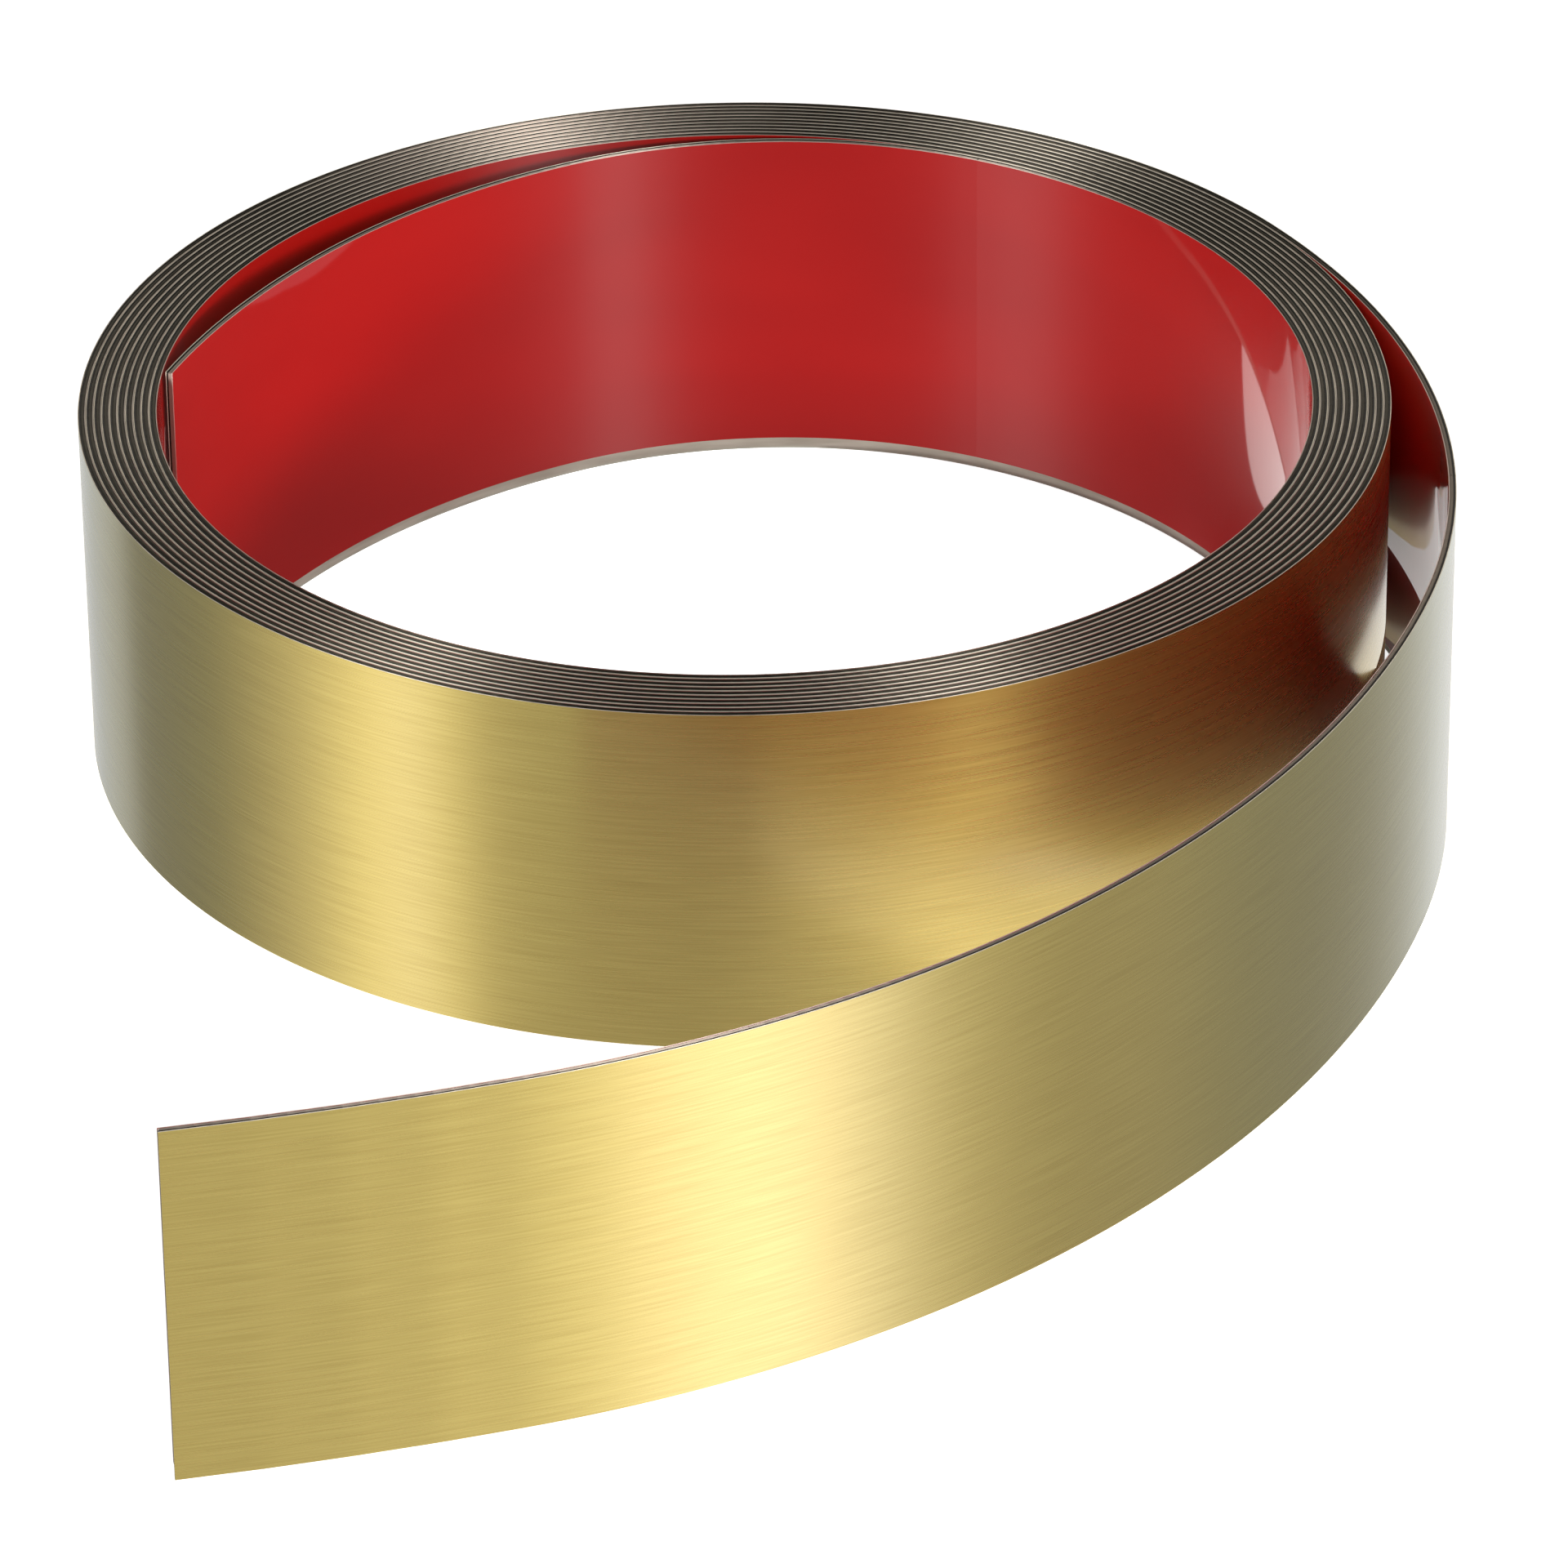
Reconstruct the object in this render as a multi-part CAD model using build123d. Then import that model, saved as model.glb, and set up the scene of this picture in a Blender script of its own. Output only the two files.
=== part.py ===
# Self-adhesive brushed-gold strip, wound into an open coil with one free tail.
# The coil stands on the strip's lower edge, on the plane z = 0, and has no core.
# Origin: the coil's centre on that plane.  +Z is up.  Lengths are in millimetres.
#
# The strip runs clockwise, seen from above, from its inner end to its outer end, as one
# chain of tangent arcs.  The chain follows the outer, gold face.  Each layer of the strip
# is the band between two depths below that face, so its arcs share the chain's centres.
import math
import os

from build123d import *

# --- driving dimensions -----------------------------------------------------------------
STRIP_WIDTH = 40.0          # height of the standing strip
PITCH = 0.86                # growth of the coil's radius in one turn
FIRST_RADIUS = 63.675       # radius of the first half turn, at the gold face
COIL_START_ANGLE = 63.6     # where the first half turn begins, from +X
HALF_TURNS = 20
LAST_SWEEP = 32.0           # part of the next half turn, up to where the tail leaves

FOIL = 0.10                 # brushed gold foil, the outer face
BACKING = 0.20              # dark springy backing strip
ADHESIVE = 0.43             # olive-grey adhesive foam
LINER = 0.10                # red release liner, the inner face
BARE_MARGIN = 1.6           # foot of the backing that adhesive and liner leave bare
FLEX_SLIT = 0.30            # cut in the strip at each line where it flexes
TAB_SLIT = 0.20             # cut in the liner where its pull tab bends away
TAB_RELIEF = 0.02           # tab and adhesive, so that the tab lifts freely
TAB_LENGTH = 30.0

# Inner end, from its tip to the coil: a flatter stretch that stands off the next turn.
INNER_END_ARCS = [(104.5, 17.0), (81.6, 25.75), (53.4, 53.3)]
# Tail, from the coil to its square-cut tip: it relaxes as it goes.
TAIL_ROOT_ARCS = [(105.2, 48.5), (141.0, 14.0)]
TAIL_END_ARCS = [(141.0, 42.4), (346.4, 5.8)]


def heading_vector(heading):
    """Unit vector along a heading given in degrees from +X."""
    return Vector(math.cos(math.radians(heading)), math.sin(math.radians(heading)))


def inward(heading):
    """Unit vector to the right of a heading, towards the arcs' centres."""
    return heading_vector(heading - 90)


def walk(start, heading, arcs):
    """End point and heading after a chain of clockwise tangent arcs."""
    point = start
    for radius, sweep in arcs:
        centre = point + inward(heading) * radius
        heading -= sweep
        point = centre - inward(heading) * radius
    return point, heading


def walk_back(end, heading, arcs):
    """Start point and heading of a chain of clockwise arcs that ends at the given point."""
    point = end
    for radius, sweep in reversed(arcs):
        centre = point + inward(heading) * radius
        heading += sweep
        point = centre - inward(heading) * radius
    return point, heading


def trim(arcs, start_length, end_length):
    """The same chain, shortened by a length of strip at its start and at its end."""
    arcs = [list(arc) for arc in arcs]
    arcs[0][1] -= math.degrees(start_length / arcs[0][0])
    arcs[-1][1] -= math.degrees(end_length / arcs[-1][0])
    return [tuple(arc) for arc in arcs]


def run(start, heading, arcs, depth):
    """Edges of the chain at a depth below the gold face."""
    edges = []
    point = start + inward(heading) * depth
    for radius, sweep in arcs:
        edge = JernArc(point, heading_vector(heading), radius - depth, -sweep)
        edges.append(edge)
        point = edge @ 1
        heading -= sweep
    return edges


def band(start, heading, arcs, outer_depth, inner_depth, foot, name, colour):
    """One layer of a stretch of strip, standing from foot to the strip's top edge."""
    outer = run(start, heading, arcs, outer_depth)
    inner = run(start, heading, arcs, inner_depth)
    ends = [Line(outer[0] @ 0, inner[0] @ 0), Line(outer[-1] @ 1, inner[-1] @ 1)]
    outline = Wire(outer + inner + ends)
    solid = extrude(make_face(outline), amount=STRIP_WIDTH - foot, dir=(0, 0, 1))
    solid = Pos(0, 0, foot) * solid
    solid.label = name
    solid.color = Color(*colour)
    return solid


# Layers in the order in which they lie, from the gold face inwards.
# name, thickness, foot, colour
LAYERS = [
    ("foil", FOIL, 0.0, (0.69, 0.60, 0.33)),
    ("backing", BACKING, 0.0, (0.16, 0.16, 0.14)),
    ("adhesive", ADHESIVE, BARE_MARGIN, (0.38, 0.37, 0.31)),
    ("liner", LINER, BARE_MARGIN, (0.73, 0.10, 0.10)),
]


def laminate(stretch, start, heading, arcs, skip=()):
    """All the layers of one stretch of strip, except those left out."""
    solids = []
    depth = 0.0
    for layer, thickness, foot, colour in LAYERS:
        if layer not in skip:
            name = f"{layer}_{stretch}"
            solids.append(band(start, heading, arcs, depth, depth + thickness, foot, name, colour))
        depth += thickness
    return solids


def shortened(start, heading, arcs, start_length, end_length):
    """Start point, heading and arcs of a stretch that is cut back at both of its ends."""
    first_radius = arcs[0][0]
    cut = (first_radius, math.degrees(start_length / first_radius))
    point, turned = walk(start, heading, [cut])
    return point, turned, trim(arcs, start_length, end_length)


# --- the coil's chain -------------------------------------------------------------------
# Half turns whose radius grows by half a pitch each, about two centres half a pitch apart.
coil_heading = COIL_START_ANGLE - 90
coil_start = heading_vector(COIL_START_ANGLE) * (FIRST_RADIUS - PITCH / 4)
coil_arcs = [(FIRST_RADIUS + k * PITCH / 2, 180.0) for k in range(HALF_TURNS)]
coil_arcs.append((FIRST_RADIUS + HALF_TURNS * PITCH / 2, LAST_SWEEP))

inner_start, inner_heading = walk_back(coil_start, coil_heading, INNER_END_ARCS)
tail_start, tail_heading = walk(coil_start, coil_heading, coil_arcs)
knee_start, knee_heading = walk(tail_start, tail_heading, TAIL_ROOT_ARCS)
tip_point, tip_heading = walk(knee_start, knee_heading, TAIL_END_ARCS)

# --- the pieces -------------------------------------------------------------------------
half_slit = FLEX_SLIT / 2
parts = []

# Inner end: free at its tip, slit from the coil at its root.
parts += laminate("inner_end", *shortened(inner_start, inner_heading, INNER_END_ARCS, 0, half_slit))

# Coil: slit at both ends.
parts += laminate("coil", *shortened(coil_start, coil_heading, coil_arcs, half_slit, half_slit))

# Root of the tail, from the coil to its knee.
parts += laminate("tail_root", *shortened(tail_start, tail_heading, TAIL_ROOT_ARCS, half_slit, half_slit))

# End of the tail, from its knee to its square-cut tip.
tail_end = shortened(knee_start, knee_heading, TAIL_END_ARCS, half_slit, 0)
parts += laminate("tail_end", *tail_end, skip=("liner",))

# Its liner is slit short of the tip, and the rest is the pull tab.
liner_depth = FOIL + BACKING + ADHESIVE
liner_colour = LAYERS[-1][3]
tail_end_liner = shortened(knee_start, knee_heading, TAIL_END_ARCS, half_slit, TAB_LENGTH + TAB_SLIT / 2)
parts.append(band(*tail_end_liner, liner_depth, liner_depth + LINER, BARE_MARGIN,
                  "liner_tail_end", liner_colour))

tip_radius = TAIL_END_ARCS[-1][0]
tab_arc = [(tip_radius, math.degrees(TAB_LENGTH / tip_radius))]
tab_start, tab_heading = walk_back(tip_point, tip_heading, tab_arc)
tab = shortened(tab_start, tab_heading, tab_arc, TAB_SLIT / 2, 0)
parts.append(band(*tab, liner_depth + TAB_RELIEF, liner_depth + TAB_RELIEF + LINER, BARE_MARGIN,
                  "liner_pull_tab", liner_colour))

# --- output -----------------------------------------------------------------------------
os.makedirs("parts", exist_ok=True)
for solid in parts:
    export_step(solid, os.path.join("parts", f"{solid.label}.step"))

strip_middle = (FOIL + BACKING + ADHESIVE + LINER) / 2
liner_middle = liner_depth + TAB_RELIEF + LINER / 2
print("inner end flexes at", coil_start + inward(coil_heading) * strip_middle)
print("tail root flexes at", tail_start + inward(tail_heading) * strip_middle)
print("tail end flexes at ", knee_start + inward(knee_heading) * strip_middle)
print("pull tab flexes at ", tab_start + inward(tab_heading) * liner_middle)
print("tip of the inner end", inner_start, " tip of the tail", tip_point)
chain = INNER_END_ARCS + coil_arcs + TAIL_ROOT_ARCS + TAIL_END_ARCS
print("strip length", round(sum(radius * math.radians(sweep) for radius, sweep in chain), 1))
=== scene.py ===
import math

import bpy
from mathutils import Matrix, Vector


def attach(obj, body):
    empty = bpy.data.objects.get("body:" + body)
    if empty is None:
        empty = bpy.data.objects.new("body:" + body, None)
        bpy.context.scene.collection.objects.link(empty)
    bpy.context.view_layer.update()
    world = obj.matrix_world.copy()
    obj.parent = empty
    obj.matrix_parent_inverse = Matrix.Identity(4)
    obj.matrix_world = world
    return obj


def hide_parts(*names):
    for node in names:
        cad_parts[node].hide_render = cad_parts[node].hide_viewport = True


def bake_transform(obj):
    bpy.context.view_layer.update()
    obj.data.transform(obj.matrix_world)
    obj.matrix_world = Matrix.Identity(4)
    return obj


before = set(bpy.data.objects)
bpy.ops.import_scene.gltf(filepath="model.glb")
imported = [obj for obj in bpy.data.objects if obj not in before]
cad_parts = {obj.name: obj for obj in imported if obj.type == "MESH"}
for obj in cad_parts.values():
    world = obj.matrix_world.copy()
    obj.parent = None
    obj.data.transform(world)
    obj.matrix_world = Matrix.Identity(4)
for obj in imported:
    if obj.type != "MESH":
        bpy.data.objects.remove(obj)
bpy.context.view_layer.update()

bpy.ops.object.select_all(action="DESELECT")

# ---- Gold face -------------------------------------------------------------------------
# A brushed gold metallised film, 0.1 mm thick and 40 mm wide, on the outside of every turn.
# It is slit from a wide web after brushing, so the fine lines run along the strip without a
# break.  The whole roll is one length: the inner end, ten turns and 32 degrees, and the tail.
MM = 0.001
STRIP_WIDTH = 40.0 * MM
PITCH = 0.86 * MM                # from one turn to the next
FIRST_RADIUS = 63.675 * MM       # of the gold face, over the first half turn
COIL_START_ANGLE = 63.6          # bearing of the place where the coil proper begins
HALF_TURNS = 20
LAST_SWEEP = 32.0                # degrees of coil past the last half turn
INNER_END_ARCS = [(104.5 * MM, 17.0), (81.6 * MM, 25.75), (53.4 * MM, 53.3)]
TAIL_ARCS = [(105.2 * MM, 48.5), (141.0 * MM, 14.0), (141.0 * MM, 42.4), (346.4 * MM, 5.8)]
COIL_ARCS = [(FIRST_RADIUS + k * PITCH / 2, 180.0) for k in range(HALF_TURNS)]
COIL_ARCS += [(FIRST_RADIUS + HALF_TURNS * PITCH / 2, LAST_SWEEP)]
ARC_STEP = 1.5                   # degrees of an arc between two points of the winding line
ROOT_LENGTH = 62.0 * MM          # of the first of the two lengths that the tail is laid in
SEGMENT = 1.8 * MM               # length of strip between two rungs of its mesh
EDGE_ROUNDING = 0.4              # of a layer's thickness, along its upper edges
FOIL = 0.10 * MM
GOLD = (0.68, 0.525, 0.138, 1)
GOLD_SHADE = (0.59, 0.44, 0.105, 1)


def to_the_right(heading):
    """Unit vector to the right of a heading in degrees, towards the centre of the arc."""
    return Vector((math.sin(math.radians(heading)), -math.cos(math.radians(heading)), 0))


def length_of(arcs):
    """Length along a run of (radius, sweep) arcs."""
    return sum(radius * math.radians(sweep) for radius, sweep in arcs)


# The first half turn has a known place, so the inner end is followed backwards from it.
heading = COIL_START_ANGLE - 90
place = -to_the_right(heading) * (FIRST_RADIUS - PITCH / 4)
for radius, sweep in reversed(INNER_END_ARCS):
    centre = place + to_the_right(heading) * radius
    heading += sweep
    place = centre - to_the_right(heading) * radius
line_points = [place]
for radius, sweep in INNER_END_ARCS + COIL_ARCS + TAIL_ARCS:
    centre = line_points[-1] + to_the_right(heading) * radius
    steps = math.ceil(sweep / ARC_STEP)
    for i in range(1, steps + 1):
        line_points.append(centre - to_the_right(heading - sweep * i / steps) * radius)
    heading -= sweep

coil_at = length_of(INNER_END_ARCS)
tail_at = coil_at + length_of(COIL_ARCS)
seam_at = tail_at + ROOT_LENGTH
tip_at = tail_at + length_of(TAIL_ARCS)

bpy.ops.curve.primitive_nurbs_path_add()
winding_line = bpy.context.object
winding_line.name = "winding_line"
winding_line.data.splines.clear()
spline = winding_line.data.splines.new("POLY")
spline.points.add(len(line_points) - 1)
for point, place in zip(spline.points, line_points):
    point.co = (*place, 1)
winding_line.data.use_stretch = False
winding_line.data.use_deform_bounds = False
bpy.ops.object.select_all(action="DESELECT")


def lay_strip(name, start, end, depth, thickness, foot, outer, inner, edge):
    """One layer, cut flat to its length, mapped in metres along and across, then wound."""
    length, height = end - start, STRIP_WIDTH - foot
    bpy.ops.mesh.primitive_grid_add(
        x_subdivisions=round(length / SEGMENT), y_subdivisions=2, size=1,
        location=((start + end) / 2, -depth, (foot + STRIP_WIDTH) / 2),
        rotation=(math.pi / 2, 0, 0),
    )
    layer = bpy.context.object
    layer.name = layer.data.name = name
    layer.scale = (length, height, 1)
    bpy.ops.object.transform_apply(location=True, rotation=True, scale=True)
    bpy.ops.object.mode_set(mode="EDIT")
    bpy.ops.mesh.select_all(action="SELECT")
    bpy.ops.mesh.extrude_region_move(TRANSFORM_OT_translate={"value": (0, -thickness, 0)})
    bpy.ops.mesh.select_all(action="SELECT")
    bpy.ops.mesh.normals_make_consistent(inside=False)
    bpy.ops.mesh.select_all(action="DESELECT")
    bpy.ops.object.mode_set(mode="OBJECT")
    mesh = layer.data
    # The two long edges on top are rounded a little, and the foot is left sharp.
    for line in mesh.edges:
        a, b = (mesh.vertices[i].co for i in line.vertices)
        line.select = min(a.z, b.z) > STRIP_WIDTH - 0.01 * MM and abs(a.x - b.x) > SEGMENT / 2
    bpy.ops.object.mode_set(mode="EDIT")
    bpy.ops.mesh.bevel(offset=thickness * EDGE_ROUNDING, segments=2, affect="EDGES")
    bpy.ops.object.mode_set(mode="OBJECT")
    for material in (outer, inner, edge):
        mesh.materials.append(material)
    for old in list(mesh.uv_layers):
        mesh.uv_layers.remove(old)
    along = mesh.uv_layers.new(name="along_strip")
    # Slot 0 is the outer face, 1 the inner face, and 2 every cut side and rounded edge.
    for face in mesh.polygons:
        cut_side = abs(face.normal.y) < 0.98
        face.material_index = 2 if cut_side else 0 if face.normal.y > 0 else 1
        for corner in face.loop_indices:
            at = mesh.vertices[mesh.loops[corner].vertex_index].co
            along.data[corner].uv = (at.x, at.z - at.y)
    wind = layer.modifiers.new("wind", "CURVE")
    wind.object = winding_line
    wind.deform_axis = "POS_X"
    bpy.ops.object.modifier_apply(modifier=wind.name)
    bpy.ops.object.shade_smooth_by_angle(angle=math.radians(10))
    layer.select_set(False)
    return layer


def new_material(name, **values):
    """A principled material with its plain values set on the shader's own sockets."""
    material = bpy.data.materials.new(name)
    material.use_nodes = True
    shader = material.node_tree.nodes["Principled BSDF"]
    for socket, value in values.items():
        shader.inputs[socket.replace("_", " ")].default_value = value
    return material, shader


def strip_noise(material, scale, detail=2.0, shift=(0, 0, 0)):
    """Noise stretched by scale along and across the strip, in cycles to the metre."""
    nodes, links = material.node_tree.nodes, material.node_tree.links
    uv = nodes.new("ShaderNodeUVMap")
    uv.uv_map = "along_strip"
    stretch = nodes.new("ShaderNodeMapping")
    stretch.inputs["Location"].default_value = shift
    stretch.inputs["Scale"].default_value = (*scale, 1)
    noise = nodes.new("ShaderNodeTexNoise")
    noise.inputs["Scale"].default_value = 1.0
    noise.inputs["Detail"].default_value = detail
    links.new(uv.outputs["UV"], stretch.inputs["Vector"])
    links.new(stretch.outputs["Vector"], noise.inputs["Vector"])
    return noise.outputs["Fac"]


def ramp(material, source, *stops):
    """A colour ramp over (position, colour) stops."""
    node = material.node_tree.nodes.new("ShaderNodeValToRGB")
    elements = node.color_ramp.elements
    while len(elements) < len(stops):
        elements.new(0.5)
    for element, (position, colour) in zip(elements, stops):
        element.position = position
        element.color = colour
    material.node_tree.links.new(source, node.inputs["Fac"])
    return node.outputs["Color"]


def spread(material, source, low, high):
    """Noise turned into a number between low and high."""
    node = material.node_tree.nodes.new("ShaderNodeMapRange")
    node.inputs["From Min"].default_value = 0.3
    node.inputs["From Max"].default_value = 0.7
    node.inputs["To Min"].default_value = low
    node.inputs["To Max"].default_value = high
    material.node_tree.links.new(source, node.inputs["Value"])
    return node.outputs["Result"]


def feed(material, source, shader, socket="Base Color"):
    """Links a pattern to a socket of the shader."""
    material.node_tree.links.new(source, shader.inputs[socket])


def with_the_grain(material, shader):
    """Lines up a stretched highlight with the length of the strip."""
    grain = material.node_tree.nodes.new("ShaderNodeTangent")
    grain.direction_type = "UV_MAP"
    grain.uv_map = "along_strip"
    feed(material, grain.outputs["Tangent"], shader, "Tangent")


def cut_edge(name, metallic):
    """A satin edge left by the slitting knives, which drew its shine out along the strip."""
    material, shader = new_material(
        name, Metallic=metallic, Roughness=0.68, Anisotropic=1.0, Anisotropic_Rotation=0.25
    )
    with_the_grain(material, shader)
    return material, shader


PAINTED_HIGHLIGHT_AT = (-0.024, 0.066, STRIP_WIDTH)     # the painted highlight's patch at the back, and its reach
PAINTED_HIGHLIGHT_SIZE = (0.034, 0.030, 0.030)


def paler_at_ends_with_painted_highlight(material, colour, pale):
    """A cut edge is made paler at the two loose ends, and carries a painted highlight in one
    patch at the back.
    """
    nodes, links = material.node_tree.nodes, material.node_tree.links
    uv = nodes.new("ShaderNodeUVMap")
    uv.uv_map = "along_strip"
    split = nodes.new("ShaderNodeSeparateXYZ")
    links.new(uv.outputs["UV"], split.inputs["Vector"])
    share = nodes.new("ShaderNodeMath")
    share.operation = "DIVIDE"
    links.new(split.outputs["X"], share.inputs[0])
    share.inputs[1].default_value = tip_at
    end_pale, mid_plain = (1, 1, 1, 1), (0, 0, 0, 1)
    end_paleness = ramp(
        material, share.outputs["Value"],
        ((coil_at - 12 * MM) / tip_at, end_pale), ((coil_at + 45 * MM) / tip_at, mid_plain),
        ((tail_at + 10 * MM) / tip_at, mid_plain), ((tail_at + 110 * MM) / tip_at, end_pale),
    )
    # Painted highlight: inside a round patch at the back of the rim, the edge colour is mixed to
    # the pale colour.
    place = nodes.new("ShaderNodeTexCoord")
    highlight_frame = nodes.new("ShaderNodeMapping")
    highlight_frame.vector_type = "TEXTURE"
    highlight_frame.inputs["Location"].default_value = PAINTED_HIGHLIGHT_AT
    highlight_frame.inputs["Scale"].default_value = PAINTED_HIGHLIGHT_SIZE
    links.new(place.outputs["Object"], highlight_frame.inputs["Vector"])
    painted_highlight = nodes.new("ShaderNodeTexGradient")
    painted_highlight.gradient_type = "SPHERICAL"
    links.new(highlight_frame.outputs["Vector"], painted_highlight.inputs["Vector"])
    most = nodes.new("ShaderNodeMath")
    most.operation = "MAXIMUM"
    links.new(end_paleness, most.inputs[0])
    links.new(painted_highlight.outputs["Fac"], most.inputs[1])
    mix = nodes.new("ShaderNodeMix")
    mix.data_type = "RGBA"
    links.new(most.outputs["Value"], mix.inputs[0])
    links.new(colour, mix.inputs[6])
    mix.inputs[7].default_value = pale
    return mix.outputs[2]


brushed_gold, gold_shader = new_material(
    "brushed_gold", Metallic=1.0, Roughness=0.27, Anisotropic=0.88, Anisotropic_Rotation=0.25,
    Coat_Weight=1.0, Coat_Roughness=0.2,
)
hairlines = strip_noise(brushed_gold, (90, 4500), detail=3.0)
feed(brushed_gold, ramp(brushed_gold, hairlines, (0.32, GOLD_SHADE), (0.66, GOLD)), gold_shader)
brush_wear = strip_noise(brushed_gold, (40, 2600), shift=(3, 7, 0))
feed(brushed_gold, spread(brushed_gold, brush_wear, 0.265, 0.29), gold_shader, "Roughness")
with_the_grain(brushed_gold, gold_shader)

foil_back, _ = new_material("foil_back", Base_Color=(0.10, 0.08, 0.06, 1), Roughness=0.6)

slit_foil, slit_shader = cut_edge("slit_foil_edge", metallic=0.5)
slit_colour = ramp(
    slit_foil, strip_noise(slit_foil, (150, 900)),
    (0.3, (0.60, 0.54, 0.43, 1)), (0.7, (0.92, 0.84, 0.69, 1)),
)
slit_colour = paler_at_ends_with_painted_highlight(slit_foil, slit_colour, (0.90, 0.82, 0.66, 1))
feed(slit_foil, slit_colour, slit_shader)

# Where each bend starts and ends: the inner end flexes where it leaves the coil, and the tail
# at its root and at its knee.  Below, a length with a bend is only baked in place, and these
# points are not read.
FLAP_BEND = ((0.030, 0.057, 0), (-0.012, 0.060, 0))
ROOT_BEND = ((0.0615, 0.0375, 0), (0.083, 0.005, 0))
KNEE_BEND = ((0.0815, -0.040, 0), (0.030, -0.108, 0))


def lay_whole_layer(layer, depth, thickness, foot, outer, inner, edge, tip=tip_at):
    """A layer from inner end to tip in four lengths: the coil on its body, the others baked in
    place.
    """
    lengths = (
        ("inner_end", 0, coil_at, ("coil", "inner_end", *FLAP_BEND)),
        ("coil", coil_at, tail_at, None),
        ("tail_root", tail_at, seam_at, ("coil", "tail_root", *ROOT_BEND)),
        ("tail_end", seam_at, tip, ("tail_root", "tail_end", *KNEE_BEND)),
    )
    for part, start, end, bend in lengths:
        name = f"{layer}_{part}"
        piece = lay_strip(
            f"{name}_length", start, end, depth, thickness, foot, outer, inner, edge
        )
        if bend:
            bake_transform(piece)
        else:
            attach(piece, part)
        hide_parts(name)


lay_whole_layer(
    "foil", 0.0, FOIL, 0.0, brushed_gold, foil_back, slit_foil
)

# ---- Backing ---------------------------------------------------------------------------
# The plastic carrier, 0.2 mm thick, that the film is bonded to over its full width.  It is
# dark where it is cut.  At the foot the adhesive and the liner stop short, and leave a pale
# band of its inner side bare.
BACKING = 0.20 * MM
dark_backing, backing_shader = cut_edge("dark_backing", metallic=0.5)
backing_colour = ramp(
    dark_backing, strip_noise(dark_backing, (80, 900)),
    (0.3, (0.008, 0.006, 0.005, 1)), (0.7, (0.020, 0.016, 0.013, 1)),
)
feed(dark_backing, backing_colour, backing_shader)
bare_backing, bare_shader = new_material("bare_backing", Roughness=0.5)
bare_colour = ramp(
    bare_backing, strip_noise(bare_backing, (120, 900)),
    (0.35, (0.42, 0.38, 0.30, 1)), (0.65, (0.55, 0.51, 0.42, 1)),
)
feed(bare_backing, bare_colour, bare_shader)
lay_whole_layer(
    "backing", FOIL, BACKING, 0.0, dark_backing, bare_backing, dark_backing
)

# ---- Adhesive --------------------------------------------------------------------------
# A foamed pressure-sensitive adhesive, 0.43 mm thick, cast on the backing.  It is cut with
# the strip, so its olive-brown edge shows between the pale lines of foil and liner.
ADHESIVE = 0.43 * MM
BARE_MARGIN = 1.6 * MM           # height of the band at the foot without adhesive or liner
foam, foam_shader = cut_edge("adhesive_foam", metallic=0.85)
foam_colour = ramp(
    foam, strip_noise(foam, (60, 4000)),
    (0.3, (0.030, 0.026, 0.017, 1)), (0.7, (0.085, 0.072, 0.050, 1)),
)
feed(foam, paler_at_ends_with_painted_highlight(foam, foam_colour, (0.42, 0.35, 0.29, 1)), foam_shader)
lay_whole_layer(
    "adhesive", FOIL + BACKING, ADHESIVE, BARE_MARGIN, foam, foam, foam
)

# ---- Red liner -------------------------------------------------------------------------
# A glossy red release film, 0.1 mm thick, over the adhesive on the inside of every turn.
# The last 30 mm at the tip is a separate tab here, since that is where it is picked up.
LINER = 0.10 * MM
TAB_LENGTH = 30.0 * MM
liner_depth = FOIL + BACKING + ADHESIVE
red_liner, liner_shader = new_material(
    "red_liner", Roughness=0.42, Anisotropic=0.9, Anisotropic_Rotation=0.25,
    Coat_Weight=1.0, Coat_Roughness=0.04,
)
with_the_grain(red_liner, liner_shader)
liner_red = ramp(
    red_liner, strip_noise(red_liner, (25, 60)),
    (0.3, (0.46, 0.003, 0.0025, 1)), (0.7, (0.52, 0.005, 0.0035, 1)),
)
feed(red_liner, liner_red, liner_shader)
ripple = red_liner.node_tree.nodes.new("ShaderNodeBump")
ripple.inputs["Strength"].default_value = 1.0
ripple.inputs["Distance"].default_value = 0.02 * MM
red_liner.node_tree.links.new(
    strip_noise(red_liner, (180, 120), detail=4.0), ripple.inputs["Height"]
)
feed(red_liner, ripple.outputs["Normal"], liner_shader, "Normal")
liner_edge, liner_edge_shader = cut_edge("liner_edge", metallic=0.5)
liner_cut_colour = ramp(
    liner_edge, strip_noise(liner_edge, (150, 900)),
    (0.3, (0.44, 0.38, 0.32, 1)), (0.7, (0.70, 0.61, 0.52, 1)),
)
liner_cut_colour = paler_at_ends_with_painted_highlight(liner_edge, liner_cut_colour, (0.78, 0.62, 0.55, 1))
feed(liner_edge, liner_cut_colour, liner_edge_shader)
lay_whole_layer(
    "liner", liner_depth, LINER, BARE_MARGIN, red_liner, red_liner, liner_edge,
    tip=tip_at - TAB_LENGTH,
)
pull_tab = lay_strip(
    "pull_tab_length", tip_at - TAB_LENGTH, tip_at, liner_depth, LINER, BARE_MARGIN,
    red_liner, red_liner, liner_edge,
)
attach(pull_tab, "pull_tab")
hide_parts("liner_pull_tab")
bpy.data.objects.remove(winding_line)

# ---- Floor -----------------------------------------------------------------------------
# A plain lit sheet of paper that the roll stands on, on the edges of its turns, and under it
# the table proper, which shades the roll from below as a table does.
FLOOR_SIZE = 6.0
TABLE_DROP = 0.5 * MM


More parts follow.
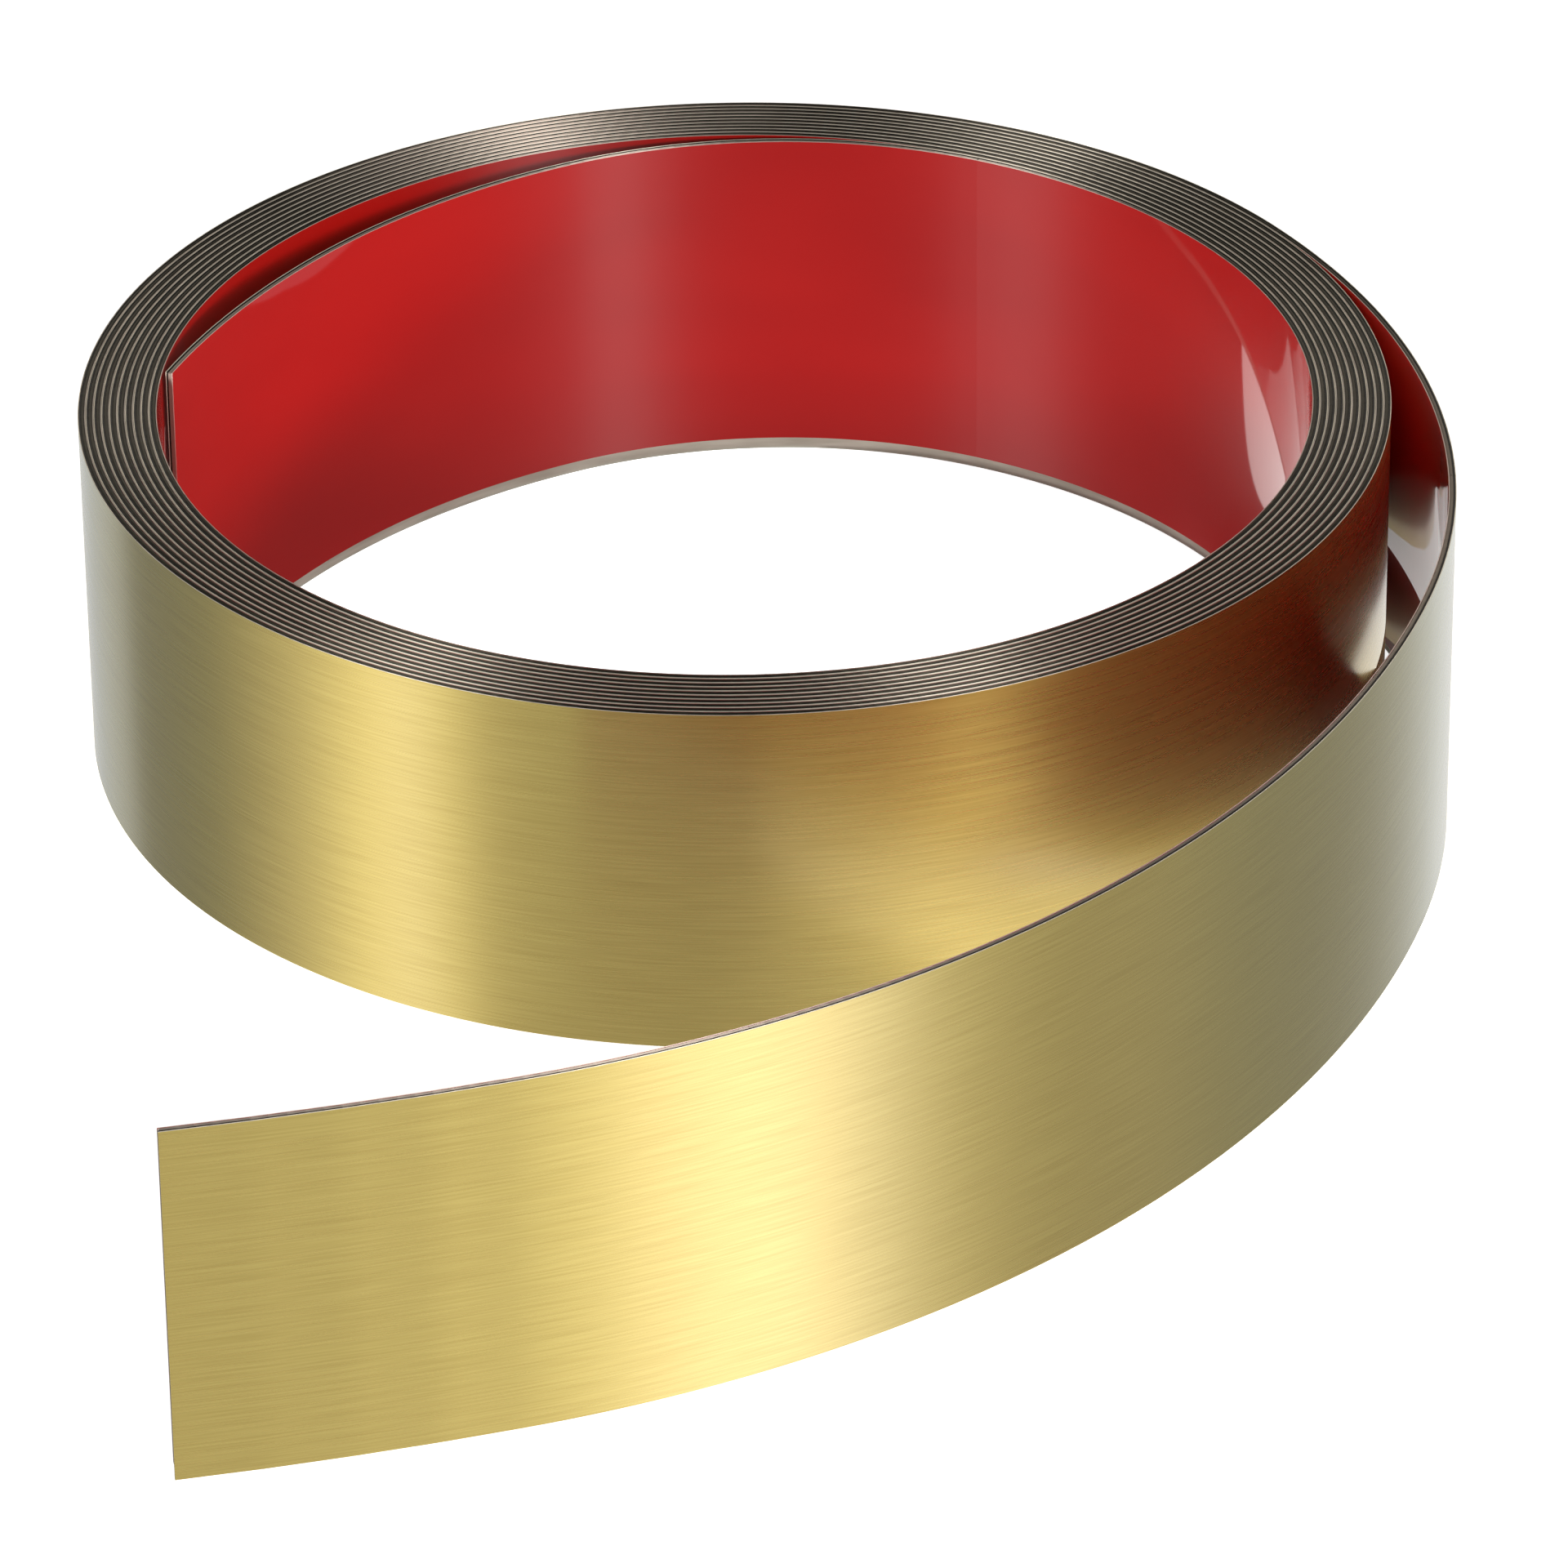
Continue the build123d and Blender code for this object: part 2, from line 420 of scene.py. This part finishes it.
def lay_sheet(name, height, grey, roughness, gloss, **glow):
    """A plain square sheet of the size of the floor."""
    bpy.ops.mesh.primitive_grid_add(
        x_subdivisions=8, y_subdivisions=8, size=FLOOR_SIZE, location=(0, 0, height)
    )
    sheet = bpy.context.object
    sheet.name = name
    paint, _ = new_material(
        f"{name}_paint", Base_Color=(grey, grey, grey, 1), Roughness=roughness,
        Specular_IOR_Level=gloss, **glow,
    )
    sheet.data.materials.append(paint)
    return sheet


floor = lay_sheet(
    "studio_floor", 0, 0.86, 0.9, 0.1, Emission_Color=(1, 1, 1, 1), Emission_Strength=0.85
)
floor.visible_glossy = floor.visible_diffuse = floor.visible_shadow = False
table_top = lay_sheet("table_top", -TABLE_DROP, 0.30, 1.0, 0.0)
table_top.visible_camera = table_top.visible_glossy = False

# ---- Cards and ring glow ---------------------------------------------------------------
# Flat cards that only reflections see.  The dark ones at the foot of the ring are painted shade,
# standing in for the shaded floor there.  The bright one that its right wall sees past the cut of
# the upper card, and the bright ones between coil and tail, glow as painted reflections of lit
# floor.  The disc inside the ring glows as painted bounce light off the floor, up the red walls.
RING = 63.6 * MM                 # reaches a little way under the innermost turn
CARD_TINT = (1.0, 0.98, 0.95, 1)


def lay_disc(name, centre, half_width, half_depth, height, corners, **glow):
    """A flat black oval that may glow.  Gives the disc, its paint and the paint's shader."""
    bpy.ops.mesh.primitive_circle_add(
        vertices=corners, radius=1.0, location=(*centre, height), fill_type="NGON"
    )
    disc = bpy.context.object
    disc.name = name
    disc.scale = (half_width, half_depth, 1)
    bpy.ops.object.transform_apply(location=True, rotation=True, scale=True)
    paint, shader = new_material(
        f"{name}_paint", Base_Color=(0, 0, 0, 1), Roughness=1.0, Specular_IOR_Level=0.0, **glow
    )
    disc.data.materials.append(paint)
    return disc, paint, shader


def lay_card(name, centre, half_width, half_depth, height, brightness, cut=None):
    """An oval card for reflections.  A cut is a place on its line and the way to what is kept."""
    card, paint, shader = lay_disc(
        name, centre, half_width, half_depth, height, 128, Emission_Color=CARD_TINT
    )
    card.visible_camera = card.visible_diffuse = card.visible_shadow = False
    if cut:
        bpy.ops.object.mode_set(mode="EDIT")
        bpy.ops.mesh.select_all(action="SELECT")
        bpy.ops.mesh.bisect(
            plane_co=(*cut[0], height), plane_no=(*cut[1], 0), clear_inner=True
        )
        bpy.ops.object.mode_set(mode="OBJECT")
    # The card is dark to light that has already been scattered by a matt surface.
    nodes, links = paint.node_tree.nodes, paint.node_tree.links
    light_path = nodes.new("ShaderNodeLightPath")
    seen = nodes.new("ShaderNodeMapRange")
    seen.inputs["To Min"].default_value = brightness
    seen.inputs["To Max"].default_value = 0.0
    links.new(light_path.outputs["Diffuse Depth"], seen.inputs["Value"])
    feed(paint, seen.outputs["Result"], shader, "Emission Strength")


# Painted shade and painted reflections, as cards that only the gloss sees.
lay_card(
    "upper_dark_card", (0, 0), RING, RING, -0.2 * MM, 0.03,
    cut=((0.056, 0.0302), (-0.55, -0.835)),
)
lay_card("lower_dark_card", (-0.012, 0.005), 0.053, 0.053, -29.8 * MM, 0.03)
lay_card("white_card", (-0.022, 0.083), 0.040, 0.027, -29.9 * MM, 1.8)
lay_card("back_dark_card", (0.028, 0.097), 0.045, 0.045, -30.0 * MM, 0.10)
lay_card(
    "gap_card", (-0.0285, -0.0175), 0.104, 0.104, -0.3 * MM, 1.35,
    cut=((0.0568, -0.0426), (0.8, -0.6)),
)
lay_card("raised_gap_card", (0.0715, 0.006), 0.0050, 0.026, 14 * MM, 0.9)

# A glowing disc, painted bounce light from the floor inside the ring, seen only by matt paint.
ring_glow, _, _ = lay_disc(
    "ring_glow", (0, 0), RING - MM, RING - MM, 0.2 * MM, 96,
    Emission_Color=(1, 1, 1, 1), Emission_Strength=1.0,
)
ring_glow.visible_camera = ring_glow.visible_glossy = ring_glow.visible_shadow = False

# ---- Light and camera ------------------------------------------------------------------
# Two tall soft boxes at the front corners give the gold and the liner their shine, and three
# low wide ones light only what is matt.  The room is pale behind.
BOX_DISTANCE = 1.6


def soft_box(name, azimuth, elevation, width, height, power, shine=True):
    """A rectangular light that faces the roll, seen either in the gloss or on matt paint."""
    a, e = math.radians(azimuth), math.radians(elevation)
    towards = Vector((math.cos(e) * math.cos(a), math.cos(e) * math.sin(a), math.sin(e)))
    offset = towards * BOX_DISTANCE
    bpy.ops.object.light_add(type="AREA", location=offset + Vector((0, 0, STRIP_WIDTH / 2)))
    box = bpy.context.object
    box.name = name
    box.data.shape = "RECTANGLE"
    box.data.size, box.data.size_y = width, height
    box.data.energy = power
    box.rotation_euler = offset.to_track_quat("Z", "Y").to_euler()
    box.visible_glossy = shine
    box.visible_diffuse = not shine


soft_box("right_strip_box", -49, 36, 0.34, 0.9, 24)
soft_box("left_strip_box", -153, 36, 0.34, 0.9, 22)
soft_box("front_fill", -92, 17, 0.7, 0.2, 13, shine=False)
soft_box("right_fill", 12, 14, 0.7, 0.2, 17, shine=False)
soft_box("left_fill", 172, 12, 0.7, 0.2, 5, shine=False)

# The room, as bearing in degrees, brightness and tint: its walls, and the table below them,
# which is what the gold mirrors.
WHITE, COOL, WARM = (1.0, 1.0, 1.0), (0.92, 1.0, 1.10), (1.06, 1.0, 0.90)
ICE = (0.97, 1.0, 1.35)
ROOM_WALLS = (
    (-180, 0.40, WHITE), (-120, 0.40, WHITE), (-60, 0.40, WHITE), (0, 0.40, WHITE),
    (42, 0.60, WHITE), (60, 0.95, WARM), (88, 1.25, WARM), (116, 1.15, WARM),
    (140, 0.45, WHITE), (180, 0.40, WHITE),
)
ROOM_TABLE = (
    (-180, 0.60, WHITE), (-169, 0.88, WHITE), (-158, 1.25, WHITE), (-150, 1.32, ICE),
    (-143, 1.05, WHITE), (-135, 0.62, WHITE), (-120, 0.54, WHITE), (-98, 0.50, WHITE),
    (-79, 0.64, WHITE), (-64, 0.72, WHITE), (-52, 1.05, WHITE), (-44, 1.55, ICE),
    (-34, 2.15, ICE), (-26, 1.40, ICE), (-18, 0.80, WHITE), (-6, 0.46, WHITE),
    (5, 0.50, WHITE), (16, 0.38, COOL), (30, 0.33, COOL), (43, 0.37, COOL),
    (52, 0.55, COOL), (62, 0.85, COOL), (88, 0.95, WHITE), (112, 0.60, COOL),
    (134, 0.60, COOL), (137, 0.24, COOL), (165, 0.34, COOL), (180, 0.60, WHITE),
)
FULL_SCALE = 3.0                 # brightness that a ramp's 1.0 stands for
HORIZON = 0.12                   # table turns to wall between these heights, up and down
CEILING_FROM, CEILING_TO = 0.30, 0.70
CEILING_SHARE = 0.12             # of the wall's brightness, right overhead

world = bpy.data.worlds.new("pale_room")
world.use_nodes = True
world.cycles.sampling_method = "NONE"
room = world.node_tree
background = room.nodes["Background"]
direction = room.nodes.new("ShaderNodeTexCoord")
bearing = room.nodes.new("ShaderNodeTexGradient")
bearing.gradient_type = "RADIAL"
room.links.new(direction.outputs["Generated"], bearing.inputs["Vector"])
split = room.nodes.new("ShaderNodeSeparateXYZ")
room.links.new(direction.outputs["Generated"], split.inputs["Vector"])


def by_height(from_min, from_max, to_min, to_max):
    """A number that goes from one value to another with the height looked at."""
    node = room.nodes.new("ShaderNodeMapRange")
    node.inputs["From Min"].default_value = from_min
    node.inputs["From Max"].default_value = from_max
    node.inputs["To Min"].default_value = to_min
    node.inputs["To Max"].default_value = to_max
    room.links.new(split.outputs["Z"], node.inputs["Value"])
    return node.outputs["Result"]


blend_rings = room.nodes.new("ShaderNodeMix")
blend_rings.data_type = "RGBA"
room.links.new(by_height(-HORIZON, HORIZON, 0.0, 1.0), blend_rings.inputs[0])
for socket, stops in ((6, ROOM_TABLE), (7, ROOM_WALLS)):
    ring = room.nodes.new("ShaderNodeValToRGB")
    while len(ring.color_ramp.elements) < len(stops):
        ring.color_ramp.elements.new(0.5)
    for element, (azimuth, level, tint) in zip(ring.color_ramp.elements, stops):
        element.position = azimuth / 360 + 0.5
        element.color = (*(level * channel / FULL_SCALE for channel in tint), 1)
    room.links.new(bearing.outputs["Fac"], ring.inputs["Fac"])
    room.links.new(ring.outputs["Color"], blend_rings.inputs[socket])
room.links.new(blend_rings.outputs[2], background.inputs["Color"])
room.links.new(
    by_height(CEILING_FROM, CEILING_TO, FULL_SCALE, FULL_SCALE * CEILING_SHARE),
    background.inputs["Strength"],
)
bpy.context.scene.world = world
bpy.context.scene.view_settings.view_transform = "Standard"

CAMERA_AT = (-0.000545, -0.910450, 0.516325)
CAMERA_LOOKS = (0.0050486, 0.8659172, -0.5001620)
CAMERA_ROLL = -0.5831            # degrees
LENS, SENSOR = 216.10, 36.0
bpy.ops.object.camera_add(location=CAMERA_AT)
camera = bpy.context.object
camera.data.lens = LENS
camera.data.sensor_width = SENSOR
look = Vector(CAMERA_LOOKS).normalized()
camera.rotation_euler = look.to_track_quat("-Z", "Y").to_euler()
camera.rotation_euler.rotate_axis("Z", math.radians(CAMERA_ROLL))
bpy.context.scene.camera = camera
